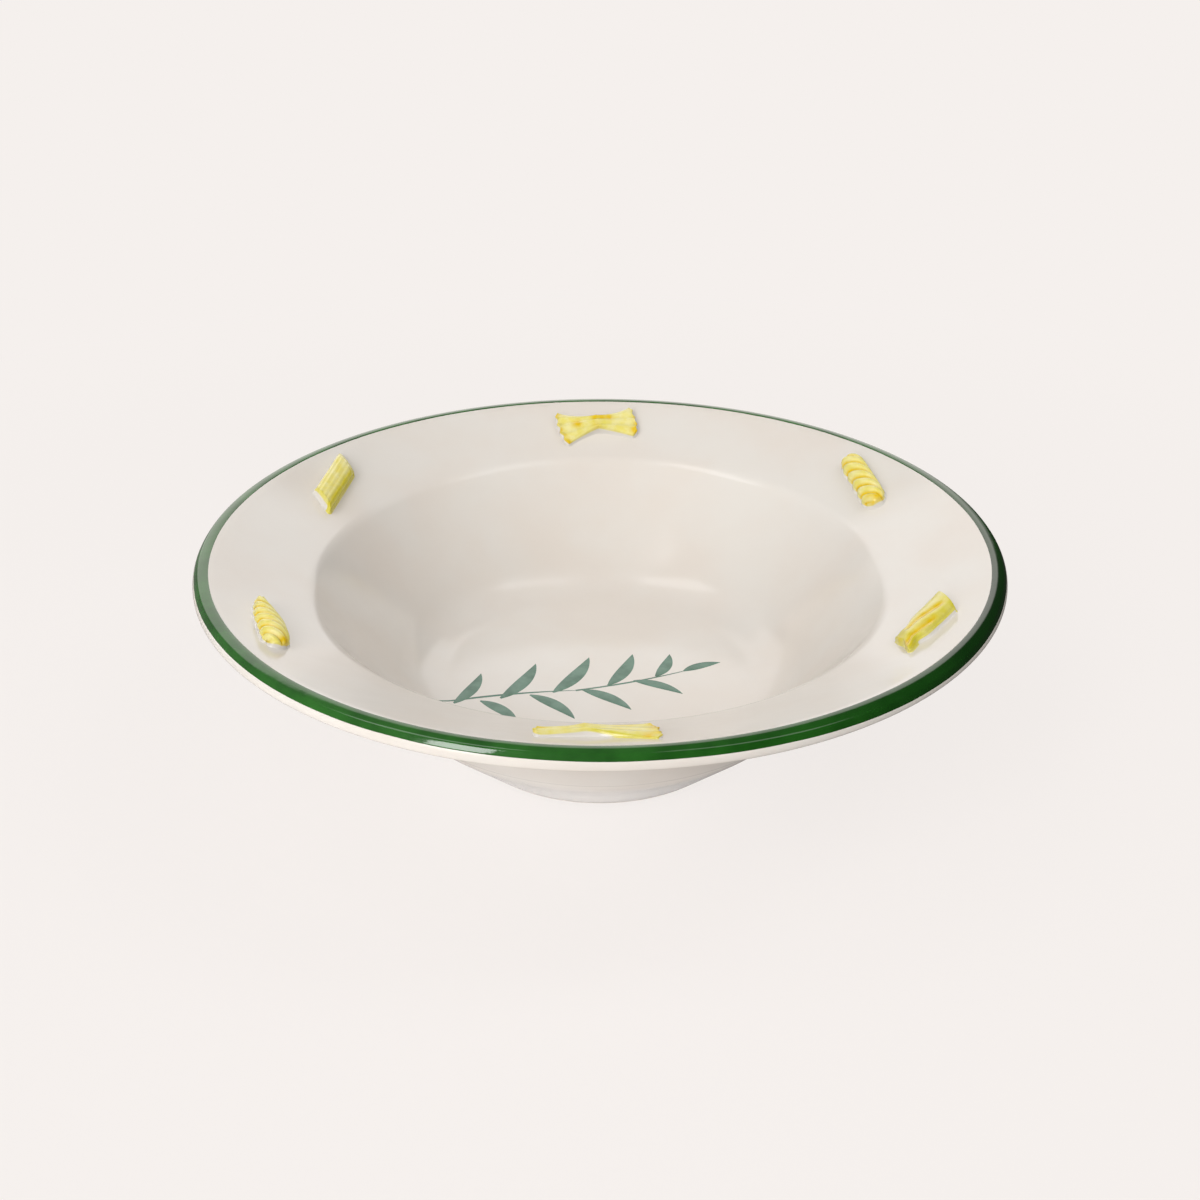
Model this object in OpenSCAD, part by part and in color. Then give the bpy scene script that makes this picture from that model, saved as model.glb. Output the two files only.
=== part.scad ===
// Deep pasta plate: a glazed bowl with a wide sloping rim, a tapered foot ring,
// a green band let into the lip and six sprig-moulded pasta shapes on the rim.
// The origin is the centre of the foot's resting circle, with z up.

/* [Plate] */
// Overall diameter
plate_d = 260; // [230:1:300]
// Overall height, from the table to the lip's crown
plate_h = 74; // [68:0.5:84]
// Thickness of the clay at the rim and the well's wall, measured square to its surface
wall_t = 6; // [5.4:0.1:7]

/* [Rim] */
// Width of the sloping rim, from the plate's edge to the well's shoulder
rim_w = 36; // [30:0.5:42]
// Slope of the rim, in degrees
rim_slope = 23; // [18:0.5:27]
// Rounding of the lip's upper corner
lip_top_round = 3.8; // [2.6:0.1:4]
// Rounding of the lip's lower corner
lip_low_round = 1.1; // [0.5:0.1:1.1]

/* [Well] */
// Diameter of the well's floor, out to where the wall's line meets it
floor_d = 125; // [112:1:130]
// Thickness of the clay under the well's floor
floor_t = 7.9; // [6:0.1:10]
// Rounding between floor and wall
well_round = 22; // [12:1:28]
// Rounding of the shoulder between well and rim
shoulder_round = 9; // [5:0.5:14]

/* [Foot] */
// Diameter of the foot where it rests
foot_d = 98; // [88:1:106]
// Height of the foot, from the table to the crease where the wall begins
foot_h = 20.8; // [18:0.1:22]
// Width of the foot's resting ring
foot_w = 7; // [5:0.5:10]
// Depth of the recess under the plate
recess_depth = 11.5; // [8:0.5:13]
// Width of the flat land on top of the foot, under the wall
foot_land = 2.4; // [1.5:0.1:4]
// Rounding of the resting ring's edges
foot_round = 1.2; // [0.6:0.1:1.8]

/* [Green band] */
// Width of the band on the lip's upper side
band_w = 5.4; // [4.5:0.1:7]
// Height of the band's lower edge below the lip's crown
band_drop = 2; // [1.4:0.1:2.4]
// Thickness of the band's glaze
band_t = 0.4; // [0.3:0.05:0.6]

/* [Reliefs] */
// Distance of the reliefs' middles from the plate's edge
relief_in = 19.5; // [18:0.5:21]
// Clearance under each relief
seat_gap = 0.05; // [0.02:0.01:0.2]
// Height of the bow's wings above the rim
bow_t = 3; // [2.2:0.1:3.6]
// Height of the bow at its pinch
bow_pinch_h = 4.2; // [3.7:0.1:5]
// Length of the bow's longer wing
bow_long_wing = 19; // [15:0.5:21]
// Length of the bow's shorter wing
bow_short_wing = 14; // [12:0.5:17]
// Width of the bow's wings at their ends
bow_wing_w = 17; // [13:0.5:19]
// Width of the bow at its pinch
bow_pinch_w = 6.5; // [5:0.5:8]
// Depth of the teeth along the wings' ends
bow_tooth = 1.3; // [0.8:0.1:1.8]
// Number of teeth along a wing's end
bow_teeth = 6; // [4:1:8]
// Depth of the flutes that fan out from the pinch
bow_flute = 0.7; // [0.3:0.1:1]
// Length of the ridged tube
penne_l = 28; // [22:0.5:32]
// Width of the ridged tube
penne_w = 9.6; // [8:0.1:12]
// Height of the ridged tube above the rim
penne_h = 4.6; // [3.6:0.1:5.4]
// Slant of the tube's ends, in degrees
penne_slant = 40; // [20:1:50]
// Number of ridges over the tube
penne_ridges = 7; // [5:2:9]
// Radius of the tube's ridges
penne_ridge = 0.7; // [0.4:0.1:1]
// Length of the spiral
spiral_l = 34; // [26:0.5:38]
// Width of the spiral
spiral_w = 10.8; // [8:0.1:12]
// Height of the spiral above the rim
spiral_h = 4.6; // [3.6:0.1:5.4]
// Turns in the spiral
spiral_turns = 1.7; // [1:0.1:2.5]
// Number of blades in the spiral
spiral_blades = 3; // [2:1:4]
// Depth of the grooves between the blades
spiral_groove = 1.1; // [0.5:0.1:1.4]

/* [Hidden] */
glaze = [0.91, 0.88, 0.84];
green = [0.15, 0.36, 0.13];
pasta = [0.95, 0.86, 0.38];
$fn = 180;

// Angle of each relief round the rim, and its turn on the rim, in degrees
bow_back_angles = [90.5, 10];
bow_front_angles = [268, 6];
penne_upper_left_angles = [151.5, 20];
penne_lower_right_angles = [331, -11];
spiral_upper_right_angles = [29, -20];
spiral_lower_left_angles = [209.7, -12];

// Shares of a bow's and a spiral's own sizes: how much a bow's edges thin, and a
// spiral's narrowing at its ends, notches along its sides and height there
bow_edge_share = 0.3;
spiral_taper_share = 0.75;
spiral_notch_share = 0.12;
spiral_side_share = 0.35;
// Share of the lip's thickness that its upper rounding may take
lip_share = 0.92;

plate_r = plate_d / 2;
floor_r = floor_d / 2;
shoulder_r = plate_r - rim_w;
foot_r = foot_d / 2;
floor_h = recess_depth + floor_t;
relief_r = plate_r - relief_in;

// Upright thickness of the clay at the plate's edge, and the roundings that fit in it
edge_t = wall_t / cos(rim_slope);
top_reach = tan(45 + rim_slope / 2);
low_reach = tan(45 - rim_slope / 2);
top_round = min(lip_top_round, lip_share * edge_t / top_reach);
low_round = min(lip_low_round, (edge_t - top_round * top_reach) / low_reach);

// Height at which the rim's line would reach the plate's edge, above the lip's crown
edge_h = plate_h + top_round * (top_reach - 1);
// Heights of the rim's upper side and of the clay's underside at radius r
function rim_z(r) = edge_h - tan(rim_slope) * (plate_r - r);
function under_z(r) = rim_z(r) - edge_t;

// The outer wall runs up from the crease, wall_t away from the well's wall, to the rim's
// underside, which it meets at radius under_r
wall_rise = (rim_z(shoulder_r) - floor_h) / (shoulder_r - floor_r);
crease_r = floor_r + (foot_h - floor_h + wall_t * norm([1, wall_rise])) / wall_rise;
under_r = (under_z(0) - foot_h + wall_rise * crease_r) / (wall_rise - tan(rim_slope));

// The foot narrows from the crease to the table, and its seat under the plate runs
// alongside, foot_land inside its outer face, down to the recess
foot_flare = (crease_r - foot_r) / foot_h;
seat_r = crease_r - foot_land - foot_flare * (foot_h - recess_depth);
recess_r = foot_r - foot_w;

band_r = plate_r - band_w;
band_low = plate_h - band_drop;

// Steps in each rounded corner of an outline, and sides of a ridge on the penne
corner_steps = 10;
ridge_sides = 24;
// Grid cells of a bow from end to end and in each tooth, and those of a spiral
// from end to end and across it
bow_cells = 20;
tooth_cells = 4;
spiral_cells = 46;
spiral_side_cells = 12;
// Powers that shape the bow's flare, its thinning edges and the ends of bow and spiral
flare_power = 1.1;
edge_power = 8;
end_power = 6;

function unit(v) = v / norm(v);

// Arc of radius r that rounds the corner b between its neighbours a and c
function corner(a, b, c, r) =
    let (
        u = unit(a - b),
        w = unit(c - b),
        half = acos(u * w) / 2,
        middle = b + unit(u + w) * r / sin(half),
        from = b + u * r / tan(half) - middle,
        to = b + w * r / tan(half) - middle,
        start = atan2(from.y, from.x),
        sweep = (atan2(to.y, to.x) - start + 540) % 360 - 180
    )
    [for (i = [0 : corner_steps])
        let (angle = start + sweep * i / corner_steps)
        middle + r * [cos(angle), sin(angle)]];

// Outline from corners that are each given as [x, y, rounding]
function rounded(path) =
    let (n = len(path), at = function (i) [path[(i + n) % n][0], path[(i + n) % n][1]])
    [for (i = [0 : n - 1])
        each path[i][2] == 0 ? [at(i)] : corner(at(i - 1), at(i), at(i + 1), path[i][2])];

module plate_section() {
    difference() {
        polygon(rounded([
            [0, floor_h, 0],
            [floor_r, floor_h, well_round],
            [shoulder_r, rim_z(shoulder_r), shoulder_round],
            [plate_r, rim_z(plate_r), top_round],
            [plate_r, under_z(plate_r), low_round],
            [under_r, under_z(under_r), shoulder_round],
            [crease_r, foot_h, 0],
            [crease_r - foot_land, foot_h, 0],
            [seat_r, recess_depth, 0],
            [0, recess_depth, 0]
        ]));
        band_section();
    }
}

// The rim, cut back by a depth from its finished surface
module rim_section(depth) {
    drop = depth / cos(rim_slope);
    polygon(rounded([
        [shoulder_r, rim_z(shoulder_r) - drop, 0],
        [plate_r - depth, rim_z(plate_r - depth) - drop, top_round - depth],
        [plate_r - depth, under_z(plate_r), 0],
        [shoulder_r, under_z(shoulder_r), 0]
    ]));
}

// The band is the skin of the lip between its inner edge and its lower edge
module band_section() {
    intersection() {
        difference() {
            rim_section(0);
            rim_section(band_t);
        }
        translate([band_r, band_low]) square([plate_r, plate_h]);
    }
}

module foot_section() {
    polygon(rounded([
        [crease_r, foot_h, 0],
        [crease_r - foot_land, foot_h, 0],
        [seat_r, recess_depth, 0],
        [recess_r - foot_round, recess_depth, 0],
        [recess_r, 0, foot_round],
        [foot_r, 0, foot_round]
    ]));
}

module plate_body() {
    color(glaze) rotate_extrude() plate_section();
}

module foot_ring() {
    color(glaze) rotate_extrude() foot_section();
}

module rim_band() {
    color(green) rotate_extrude() band_section();
}

// Puts a relief on the rim: x points out along the slope, y runs round the rim
// and z stands off it
module on_rim(angles) {
    rotate([0, 0, angles[0]])
        translate([relief_r, 0, rim_z(relief_r)])
            rotate([0, -rim_slope, 0])
                rotate([0, 0, angles[1]])
                    children();
}

// What is on the rim at a place, cut to the rim's cone
module seated_on_rim(angles) {
    difference() {
        on_rim(angles) children();
        rotate_extrude() polygon([
            [shoulder_r - rim_w, rim_z(shoulder_r - rim_w) + seat_gap],
            [plate_r, rim_z(plate_r) + seat_gap],
            [plate_r, 0],
            [shoulder_r - rim_w, 0]
        ]);
    }
}

// Ridged tube, half sunk, with both ends cut on the same slant
module penne(angles) {
    // The tube's radius, from its width at the rim and its height between the ridges
    crown = penne_h - penne_ridge / 2;
    tube_r = (pow(penne_w / 2, 2) + pow(crown, 2)) / (2 * crown);
    slant = penne_w * tan(penne_slant);
    seated_on_rim(angles)
        intersection() {
            translate([0, penne_l, crown - tube_r])
                rotate([90, 0, 0])
                    linear_extrude(2 * penne_l) {
                        circle(tube_r);
                        for (i = [0 : penne_ridges - 1])
                            rotate(180 * ((i + 1 / 2) / penne_ridges - 1 / 2))
                                translate([0, tube_r - penne_ridge / 2])
                                    circle(penne_ridge, $fn = ridge_sides);
                    }
            translate([0, 0, -penne_h])
                linear_extrude(3 * penne_h)
                    polygon([
                        [-penne_w, penne_l / 2 + slant],
                        [penne_w, penne_l / 2 - slant],
                        [penne_w, -penne_l / 2 - slant],
                        [-penne_w, -penne_l / 2 + slant]
                    ]);
        }
}

// Height above the tangent plane of the rim's cone at the local place x, y
function seat_z(x, y) =
    cos(rim_slope) * (tan(rim_slope) * (norm([relief_r + x * cos(rim_slope), y]) - relief_r)
                      - x * sin(rim_slope));

// Relief with a free-form top, as a grid of points. place(k, s) and height(k, s) give it,
// where k runs from -1 to 1 along the piece and s from -1 to 1 across it. Its base
// follows the rim's cone, and its sides join the two.
module sprig(angles, ribs, cells, place, height) {
    row = cells + 1;
    grid = [for (i = [0 : ribs], j = [0 : cells]) [2 * i / ribs - 1, 2 * j / cells - 1]];
    count = len(grid);
    turned = function (p)
        [p.x * cos(angles[1]) - p.y * sin(angles[1]), p.x * sin(angles[1]) + p.y * cos(angles[1])];
    plan = [for (g = grid) turned(place(g[0], g[1]))];
    top = [for (i = [0 : count - 1])
        [plan[i].x, plan[i].y, seat_z(plan[i].x, plan[i].y) + height(grid[i][0], grid[i][1])]];
    base = [for (p = plan) [p.x, p.y, seat_z(p.x, p.y) + seat_gap]];
    // Corners of the grid's cells, and the same ones the other way round for the base
    cell = [for (i = [0 : ribs - 1], j = [0 : cells - 1])
        let (c = i * row + j)
        [c, c + row, c + row + 1, c + 1]];
    upper = [for (c = cell) each [[c[0], c[1], c[2]], [c[0], c[2], c[3]]]];
    lower = [for (c = cell) each [[c[0], c[2], c[1]], [c[0], c[3], c[2]]]];
    outline = concat(
        [for (i = [0 : ribs - 1]) i * row],
        [for (j = [0 : cells - 1]) ribs * row + j],
        [for (i = [ribs : -1 : 1]) i * row + cells],
        [for (j = [cells : -1 : 1]) j]
    );
    side = [for (i = [0 : len(outline) - 1])
        let (a = outline[i], b = outline[(i + 1) % len(outline)])
        each [[a, count + a, count + b], [a, count + b, b]]];
    on_rim([angles[0], 0])
        polyhedron(concat(top, base), concat(upper, [for (f = lower) f + [count, count, count]], side));
}

// Bow: two fluted wings with toothed ends, drawn in and raised at the pinch
module bow(angles) {
    half_w = function (t) (bow_pinch_w + (bow_wing_w - bow_pinch_w) * pow(t, flare_power)) / 2;
    // The teeth run across the end, which is itself a little rounded
    tooth = function (s) bow_tooth * (2 * abs((s + 1) * bow_teeth / 2 % 1 - 1 / 2) - 1 - s * s);
    place = function (k, s)
        let (wing = k < 0 ? bow_short_wing : bow_long_wing, t = abs(k))
        [s * half_w(t), sign(k) * (wing * t + tooth(s) * pow(t, end_power))];
    // The flutes fan out from the pinch, and the piece thins towards its long edges
    height = function (k, s)
        let (t = abs(k), flute = bow_flute * (1 - cos(360 * 2 * s)) / 2 * (1 + 2 * t) / 3)
        (bow_t + (bow_pinch_h - bow_t) * pow(1 - t, 2) - flute)
        * (1 - bow_edge_share * pow(s, edge_power));
    sprig(angles, bow_cells, tooth_cells * bow_teeth, place, height);
}

// Spiral: three blades wound round the piece's length, which narrows at both ends
module spiral(angles) {
    blade = function (k, s) (1 + cos(spiral_blades * (90 * s + 180 * spiral_turns * k))) / 2;
    half_w = function (k) spiral_w / 2 * sqrt(1 - spiral_taper_share * pow(k, end_power));
    notch = function (k, s) 1 - spiral_notch_share * (1 - blade(k, s)) * abs(s);
    place = function (k, s) [half_w(k) * sin(90 * s) * notch(k, s), spiral_l / 2 * k];
    height = function (k, s)
        spiral_h * (spiral_side_share + (1 - spiral_side_share) * cos(90 * s))
        * (1 - spiral_taper_share * pow(k, end_power) / 2)
        - spiral_groove * (1 - blade(k, s)) * cos(60 * s);
    sprig(angles, spiral_cells, spiral_side_cells, place, height);
}

module bow_back() color(pasta) bow(bow_back_angles);
module bow_front() color(pasta) bow(bow_front_angles);
module penne_upper_left() color(pasta) penne(penne_upper_left_angles);
module penne_lower_right() color(pasta) penne(penne_lower_right_angles);
module spiral_upper_right() color(pasta) spiral(spiral_upper_right_angles);
module spiral_lower_left() color(pasta) spiral(spiral_lower_left_angles);

plate_body();
foot_ring();
rim_band();
bow_back();
penne_upper_left();
spiral_upper_right();
bow_front();
penne_lower_right();
spiral_lower_left();
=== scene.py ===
"""Looks of a deep pasta plate: glazed clay, a green band on the lip and hand-painted reliefs."""

import math

import bpy
import numpy as np
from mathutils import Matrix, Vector, noise


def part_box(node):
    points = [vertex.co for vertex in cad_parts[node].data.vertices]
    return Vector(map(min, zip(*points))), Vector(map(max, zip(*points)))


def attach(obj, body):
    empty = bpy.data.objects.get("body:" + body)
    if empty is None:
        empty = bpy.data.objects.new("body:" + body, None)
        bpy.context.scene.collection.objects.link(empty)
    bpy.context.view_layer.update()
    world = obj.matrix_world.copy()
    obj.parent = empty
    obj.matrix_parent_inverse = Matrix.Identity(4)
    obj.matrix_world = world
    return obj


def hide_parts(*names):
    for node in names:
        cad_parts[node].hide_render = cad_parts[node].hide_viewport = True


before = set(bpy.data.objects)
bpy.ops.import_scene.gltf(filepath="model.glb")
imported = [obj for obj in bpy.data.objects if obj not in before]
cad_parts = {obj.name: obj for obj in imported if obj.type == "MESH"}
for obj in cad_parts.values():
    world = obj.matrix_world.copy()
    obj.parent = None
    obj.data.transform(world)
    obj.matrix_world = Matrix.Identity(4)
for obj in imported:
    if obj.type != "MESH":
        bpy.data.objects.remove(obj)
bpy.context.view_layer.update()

# Shapes are worked out in millimetres, and meshes are made in metres
MM = 0.001

# Sizes read from the frame, in millimetres
body_high_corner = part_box("plate_body")[1] / MM
band_low_corner, band_high_corner = (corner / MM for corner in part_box("rim_band"))
foot_high_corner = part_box("foot_ring")[1] / MM
PLATE_R = body_high_corner.x
PLATE_H = band_high_corner.z
BAND_LOW = band_low_corner.z
CREASE_R = foot_high_corner.x
FOOT_H = foot_high_corner.z

# Sizes of the plate's section, in millimetres and radians, as in the part's source
RIM_SLOPE = math.radians(23)
WALL_T = 6
RIM_W = 36
LIP_TOP_ROUND = 3.8
LIP_LOW_ROUND = 1.1
FLOOR_R = 62.5
FLOOR_H = 19.4
WELL_ROUND = 22
SHOULDER_ROUND = 9
FOOT_R = 49
FOOT_W = 7
RECESS_DEPTH = 11.5
FOOT_ROUND = 1.2
BAND_W = 5.4
RELIEF_IN = 19.5

SHOULDER_R = PLATE_R - RIM_W
RELIEF_R = PLATE_R - RELIEF_IN
RECESS_R = FOOT_R - FOOT_W
EDGE_T = WALL_T / math.cos(RIM_SLOPE)
RIM_RISE = math.tan(RIM_SLOPE)
TOP_REACH = math.tan(math.pi / 4 + RIM_SLOPE / 2)
EDGE_H = PLATE_H + LIP_TOP_ROUND * (TOP_REACH - 1)


def rim_z(r):
    """Height of the rim's upper side at radius r."""
    return EDGE_H - RIM_RISE * (PLATE_R - r)


def under_z(r):
    """Height of the rim's underside at radius r."""
    return rim_z(r) - EDGE_T


WALL_RISE = (rim_z(SHOULDER_R) - FLOOR_H) / (SHOULDER_R - FLOOR_R)
UNDER_R = (under_z(0) - FOOT_H + WALL_RISE * CREASE_R) / (WALL_RISE - RIM_RISE)


def under_wall(up, out=0):
    """The place up the wall's underside from the crease, and out from its surface."""
    slope = math.atan(WALL_RISE)
    r = CREASE_R + up * math.cos(slope) + out * math.sin(slope)
    return r, FOOT_H + up * math.sin(slope) - out * math.cos(slope)


# Curves and outlines


def bell(x, width):
    """1 at x = 0, falling off smoothly on both sides over about width."""
    return math.exp(-((x / width) ** 2))


def rising(x, pace):
    """0 well below x = 0 and 1 well above it."""
    return 1 / (1 + math.exp(-x * pace))


def unit(v):
    return v / np.linalg.norm(v)


def rounded_corner(a, b, c, radius, steps):
    """Points of an arc that rounds the corner b between a and c."""
    u, w = unit(a - b), unit(c - b)
    half = math.acos(float(u @ w)) / 2
    middle = b + unit(u + w) * radius / math.sin(half)
    start = b + u * radius / math.tan(half) - middle
    end = b + w * radius / math.tan(half) - middle
    first = math.atan2(start[1], start[0])
    sweep = (math.atan2(end[1], end[0]) - first + 3 * math.pi) % (2 * math.pi) - math.pi
    angles = first + sweep * np.linspace(0, 1, steps + 1)
    return [middle + radius * np.array([math.cos(t), math.sin(t)]) for t in angles]


def outline(corners, steps=14, pitch=2.5):
    """An open outline from corners [r, z, rounding], with points at most pitch apart."""
    places = [np.array(c[:2], float) for c in corners]
    points = [places[0]]
    for i in range(1, len(corners) - 1):
        if corners[i][2]:
            points += rounded_corner(places[i - 1], places[i], places[i + 1], corners[i][2], steps)
        else:
            points.append(places[i])
    points.append(places[-1])
    dense = [points[0]]
    for p in points[1:]:
        parts = max(1, math.ceil(np.linalg.norm(p - dense[-1]) / pitch))
        start = dense[-1]
        dense += [start + (p - start) * (j + 1) / parts for j in range(parts)]
    return np.array(dense)


# Meshes


def new_piece(name, vertices, faces, material, nodes=()):
    """A mesh piece that rides on the plate. Its vertices come in millimetres."""
    mesh = bpy.data.meshes.new(name)
    mesh.from_pydata([tuple(float(x) * MM for x in v) for v in vertices], [], faces)
    mesh.validate()
    mesh.shade_smooth()
    mesh.materials.append(material)
    piece = bpy.data.objects.new(name, mesh)
    bpy.context.scene.collection.objects.link(piece)
    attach(piece, "root")
    if nodes:
        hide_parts(*nodes)
    return piece


def attribute(piece, name, values):
    """Stores a number for each vertex, which the piece's material reads."""
    layer = piece.data.attributes.new(name, "FLOAT", "POINT")
    layer.data.foreach_set("value", np.asarray(values, np.float32))


def lathe(points, segments):
    """Vertices and faces of an outline turned round the plate's axis."""
    vertices, faces, rows = [], [], []
    on_axis = 1e-6
    for r, z in points:
        if r < on_axis:
            rows.append([len(vertices)])
            vertices.append((0, 0, z))
            continue
        rows.append(list(range(len(vertices), len(vertices) + segments)))
        for i in range(segments):
            angle = 2 * math.pi * i / segments
            vertices.append((r * math.cos(angle), r * math.sin(angle), z))
    for low, high in zip(rows, rows[1:]):
        for i in range(segments):
            j = (i + 1) % segments
            if len(low) == 1:
                faces.append((low[0], high[j], high[i]))
            elif len(high) == 1:
                faces.append((low[i], low[j], high[0]))
            else:
                faces.append((low[i], low[j], high[j], high[i]))
    return vertices, faces


def grid_faces(ribs, cells, first=0):
    """Faces of a grid of points that is ribs long and cells wide and starts at point first."""
    width = cells + 1
    starts = [first + i * width + j for i in range(ribs) for j in range(cells)]
    return [(a, a + width, a + width + 1, a + 1) for a in starts]


def grid_edge(ribs, cells):
    """The numbers of the points round the edge of such a grid, in order."""
    width = cells + 1
    edge = [i * width for i in range(ribs)]
    edge += [ribs * width + j for j in range(cells)]
    edge += [i * width + cells for i in range(ribs, 0, -1)]
    edge += list(range(cells, 0, -1))
    return edge


# Materials


class Nodes:
    """The nodes of a material or a world, made and linked in short calls."""

    def __init__(self, owner, output):
        owner.use_nodes = True
        self.owner = owner
        self.tree = owner.node_tree
        self.tree.nodes.clear()
        self.output = self.add(output)

    def add(self, kind, **settings):
        node = self.tree.nodes.new(kind)
        for key, value in settings.items():
            setattr(node, key, value)
        return node

    def put(self, target, value):
        """Links a socket to target, or sets target to a number or colour."""
        if isinstance(value, bpy.types.NodeSocket):
            self.tree.links.new(value, target)
        else:
            target.default_value = value

    def place(self):
        return self.add("ShaderNodeTexCoord").outputs["Object"]

    def axes(self, place):
        """The X, Y and Z of a place or direction."""
        node = self.add("ShaderNodeSeparateXYZ")
        self.put(node.inputs[0], place)
        return node.outputs

    def noise(self, size_mm, detail=2, roughness=0.5):
        """Noise from 0 to 1 with features of about size_mm."""
        node = self.add("ShaderNodeTexNoise")
        self.put(node.inputs["Vector"], self.place())
        node.inputs["Scale"].default_value = 1 / (size_mm * MM)
        node.inputs["Detail"].default_value = detail
        node.inputs["Roughness"].default_value = roughness
        return node.outputs["Fac"]

    def read(self, name):
        """The number that attribute() stored under the name."""
        return self.add("ShaderNodeAttribute", attribute_name=name).outputs["Fac"]

    def math(self, operation, a, b, clamp=False):
        node = self.add("ShaderNodeMath", operation=operation, use_clamp=clamp)
        self.put(node.inputs[0], a)
        self.put(node.inputs[1], b)
        return node.outputs[0]

    def ramp(self, value, low, high, to_low=0.0, to_high=1.0):
        """value eased from low..high to to_low..to_high."""
        node = self.add("ShaderNodeMapRange", interpolation_type="SMOOTHSTEP")
        self.put(node.inputs["Value"], value)
        node.inputs["From Min"].default_value = low
        node.inputs["From Max"].default_value = high
        node.inputs["To Min"].default_value = to_low
        node.inputs["To Max"].default_value = to_high
        return node.outputs["Result"]

    def mix(self, share, a, b):
        """Colour a turned into b by share."""
        node = self.add("ShaderNodeMix", data_type="RGBA")
        self.put(node.inputs["Factor"], share)
        self.put(node.inputs[6], a)
        self.put(node.inputs[7], b)
        return node.outputs[2]

    def bump(self, height, distance_mm, normal=None):
        node = self.add("ShaderNodeBump")
        self.put(node.inputs["Height"], height)
        node.inputs["Distance"].default_value = distance_mm * MM
        if normal is not None:
            self.put(node.inputs["Normal"], normal)
        return node.outputs["Normal"]

    def shader(self, kind, tint, strength=None):
        """A plain shader of one colour, with a strength where it gives off light."""
        node = self.add(kind)
        self.put(node.inputs["Color"], tint)
        if strength is not None:
            self.put(node.inputs["Strength"], strength)
        return node

    def blend(self, share, a, b):
        """Shader a turned into b by share."""
        node = self.add("ShaderNodeMixShader")
        self.put(node.inputs[0], share)
        self.put(node.inputs[1], a.outputs[0])
        self.put(node.inputs[2], b.outputs[0])
        return node

    def glazed(self, tint, roughness, normal, ior):
        """Puts out a glazed surface and returns its material."""
        shader = self.add("ShaderNodeBsdfPrincipled")
        self.put(shader.inputs["Base Color"], tint)
        self.put(shader.inputs["Roughness"], roughness)
        self.put(shader.inputs["Normal"], normal)
        shader.inputs["IOR"].default_value = ior
        self.put(self.output.inputs["Surface"], shader.outputs[0])
        return self.owner


def material_nodes(name):
    return Nodes(bpy.data.materials.new(name), "ShaderNodeOutputMaterial")


def colour(red, green, blue):
    """A colour as written in sRGB from 0 to 255, in the linear values that sockets take."""
    def linear(c):
        c = c / 255
        return c / 12.92 if c <= 0.04045 else ((c + 0.055) / 1.055) ** 2.4
    return (linear(red), linear(green), linear(blue), 1)


CREAM = colour(225, 220, 213)
CREAM_WARM = colour(223, 215, 206)
# Lighter, warmer cream for the foot: thicker glaze, and painted bounce light from the table top
CREAM_THICK_AND_LIT = colour(237, 231, 225)
BARE_CLAY = colour(216, 203, 184)
GREEN = colour(36, 98, 27)
GREEN_DEEP = colour(20, 74, 14)
# Darkest green: painted shade on the band's right front, away from the lamps
GREEN_PAINTED_SHADE = colour(5, 42, 4)
GREY_GREEN = colour(98, 134, 116)
GREY_GREEN_DEEP = colour(64, 104, 84)
YELLOW = colour(229, 216, 112)
YELLOW_PALE = colour(233, 224, 156)
YELLOW_RICH = colour(208, 198, 56)
OCHRE = colour(222, 186, 12)
# The cream that the reliefs' sides were dipped in
SLIP = colour(223, 218, 210)
BACKGROUND = colour(245, 240, 237)
BLACK = colour(0, 0, 0)

# Refraction of the cream glaze, and of the green, which is glossier
CREAM_IOR = 1.5
GREEN_IOR = 1.65

# Heights between which the foot's glaze starts, and how unevenly, in millimetres
GLAZE_START = (0.75, 1.05)
GLAZE_UNEVEN = 0.5
# The foot's glaze is thicker, and its cream is painted lighter and warmer as bounce light from the
# table top, from this far above its crease to this far below it
FOOT_TONE_FROM = 2
FOOT_TONE_TO = 3


def glaze_bump(nodes, depth_mm=0.012):
    """The faint orange-peel and slow swell of a dipped glaze."""
    slow = nodes.bump(nodes.noise(16, 1), depth_mm * 5)
    slow = nodes.bump(nodes.noise(6, 1), depth_mm * 2, slow)
    return nodes.bump(nodes.noise(2.6, 2, 0.55), depth_mm, slow)


def cream_tint(nodes):
    """Cream that turns warmer in broad patches."""
    return nodes.mix(nodes.ramp(nodes.noise(38, 3), 0.3, 0.7), CREAM, CREAM_WARM)


def cream_glaze():
    nodes = material_nodes("cream_glaze")
    roughness = nodes.ramp(nodes.noise(9, 2), 0.2, 0.8, 0.1, 0.15)
    return nodes.glazed(cream_tint(nodes), roughness, glaze_bump(nodes), CREAM_IOR)


def foot_glaze():
    """Cream glaze, thicker on the foot and painted lighter and warmer there as bounce light from the
    table top, that stops, with a slightly uneven edge, short of the bare resting ring."""
    nodes = material_nodes("foot_glaze")
    height = nodes.axes(nodes.place())["Z"]
    edge = nodes.math("ADD", height, nodes.math("MULTIPLY", nodes.noise(5, 2), GLAZE_UNEVEN * MM))
    glazed = nodes.ramp(edge, GLAZE_START[0] * MM, GLAZE_START[1] * MM)
    # Below the crease the cream turns lighter and warmer: thicker glaze, and painted bounce light
    # from the table top
    thick_and_lit = nodes.ramp(height, (FOOT_H - FOOT_TONE_TO) * MM, (FOOT_H + FOOT_TONE_FROM) * MM, 1, 0)
    tint = nodes.mix(thick_and_lit, cream_tint(nodes), CREAM_THICK_AND_LIT)
    tint = nodes.mix(glazed, BARE_CLAY, tint)
    normal = nodes.bump(nodes.noise(0.5, 3, 0.7), 0.03, glaze_bump(nodes))
    return nodes.glazed(tint, nodes.ramp(glazed, 0, 1, 0.75, 0.13), normal, CREAM_IOR)


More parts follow.
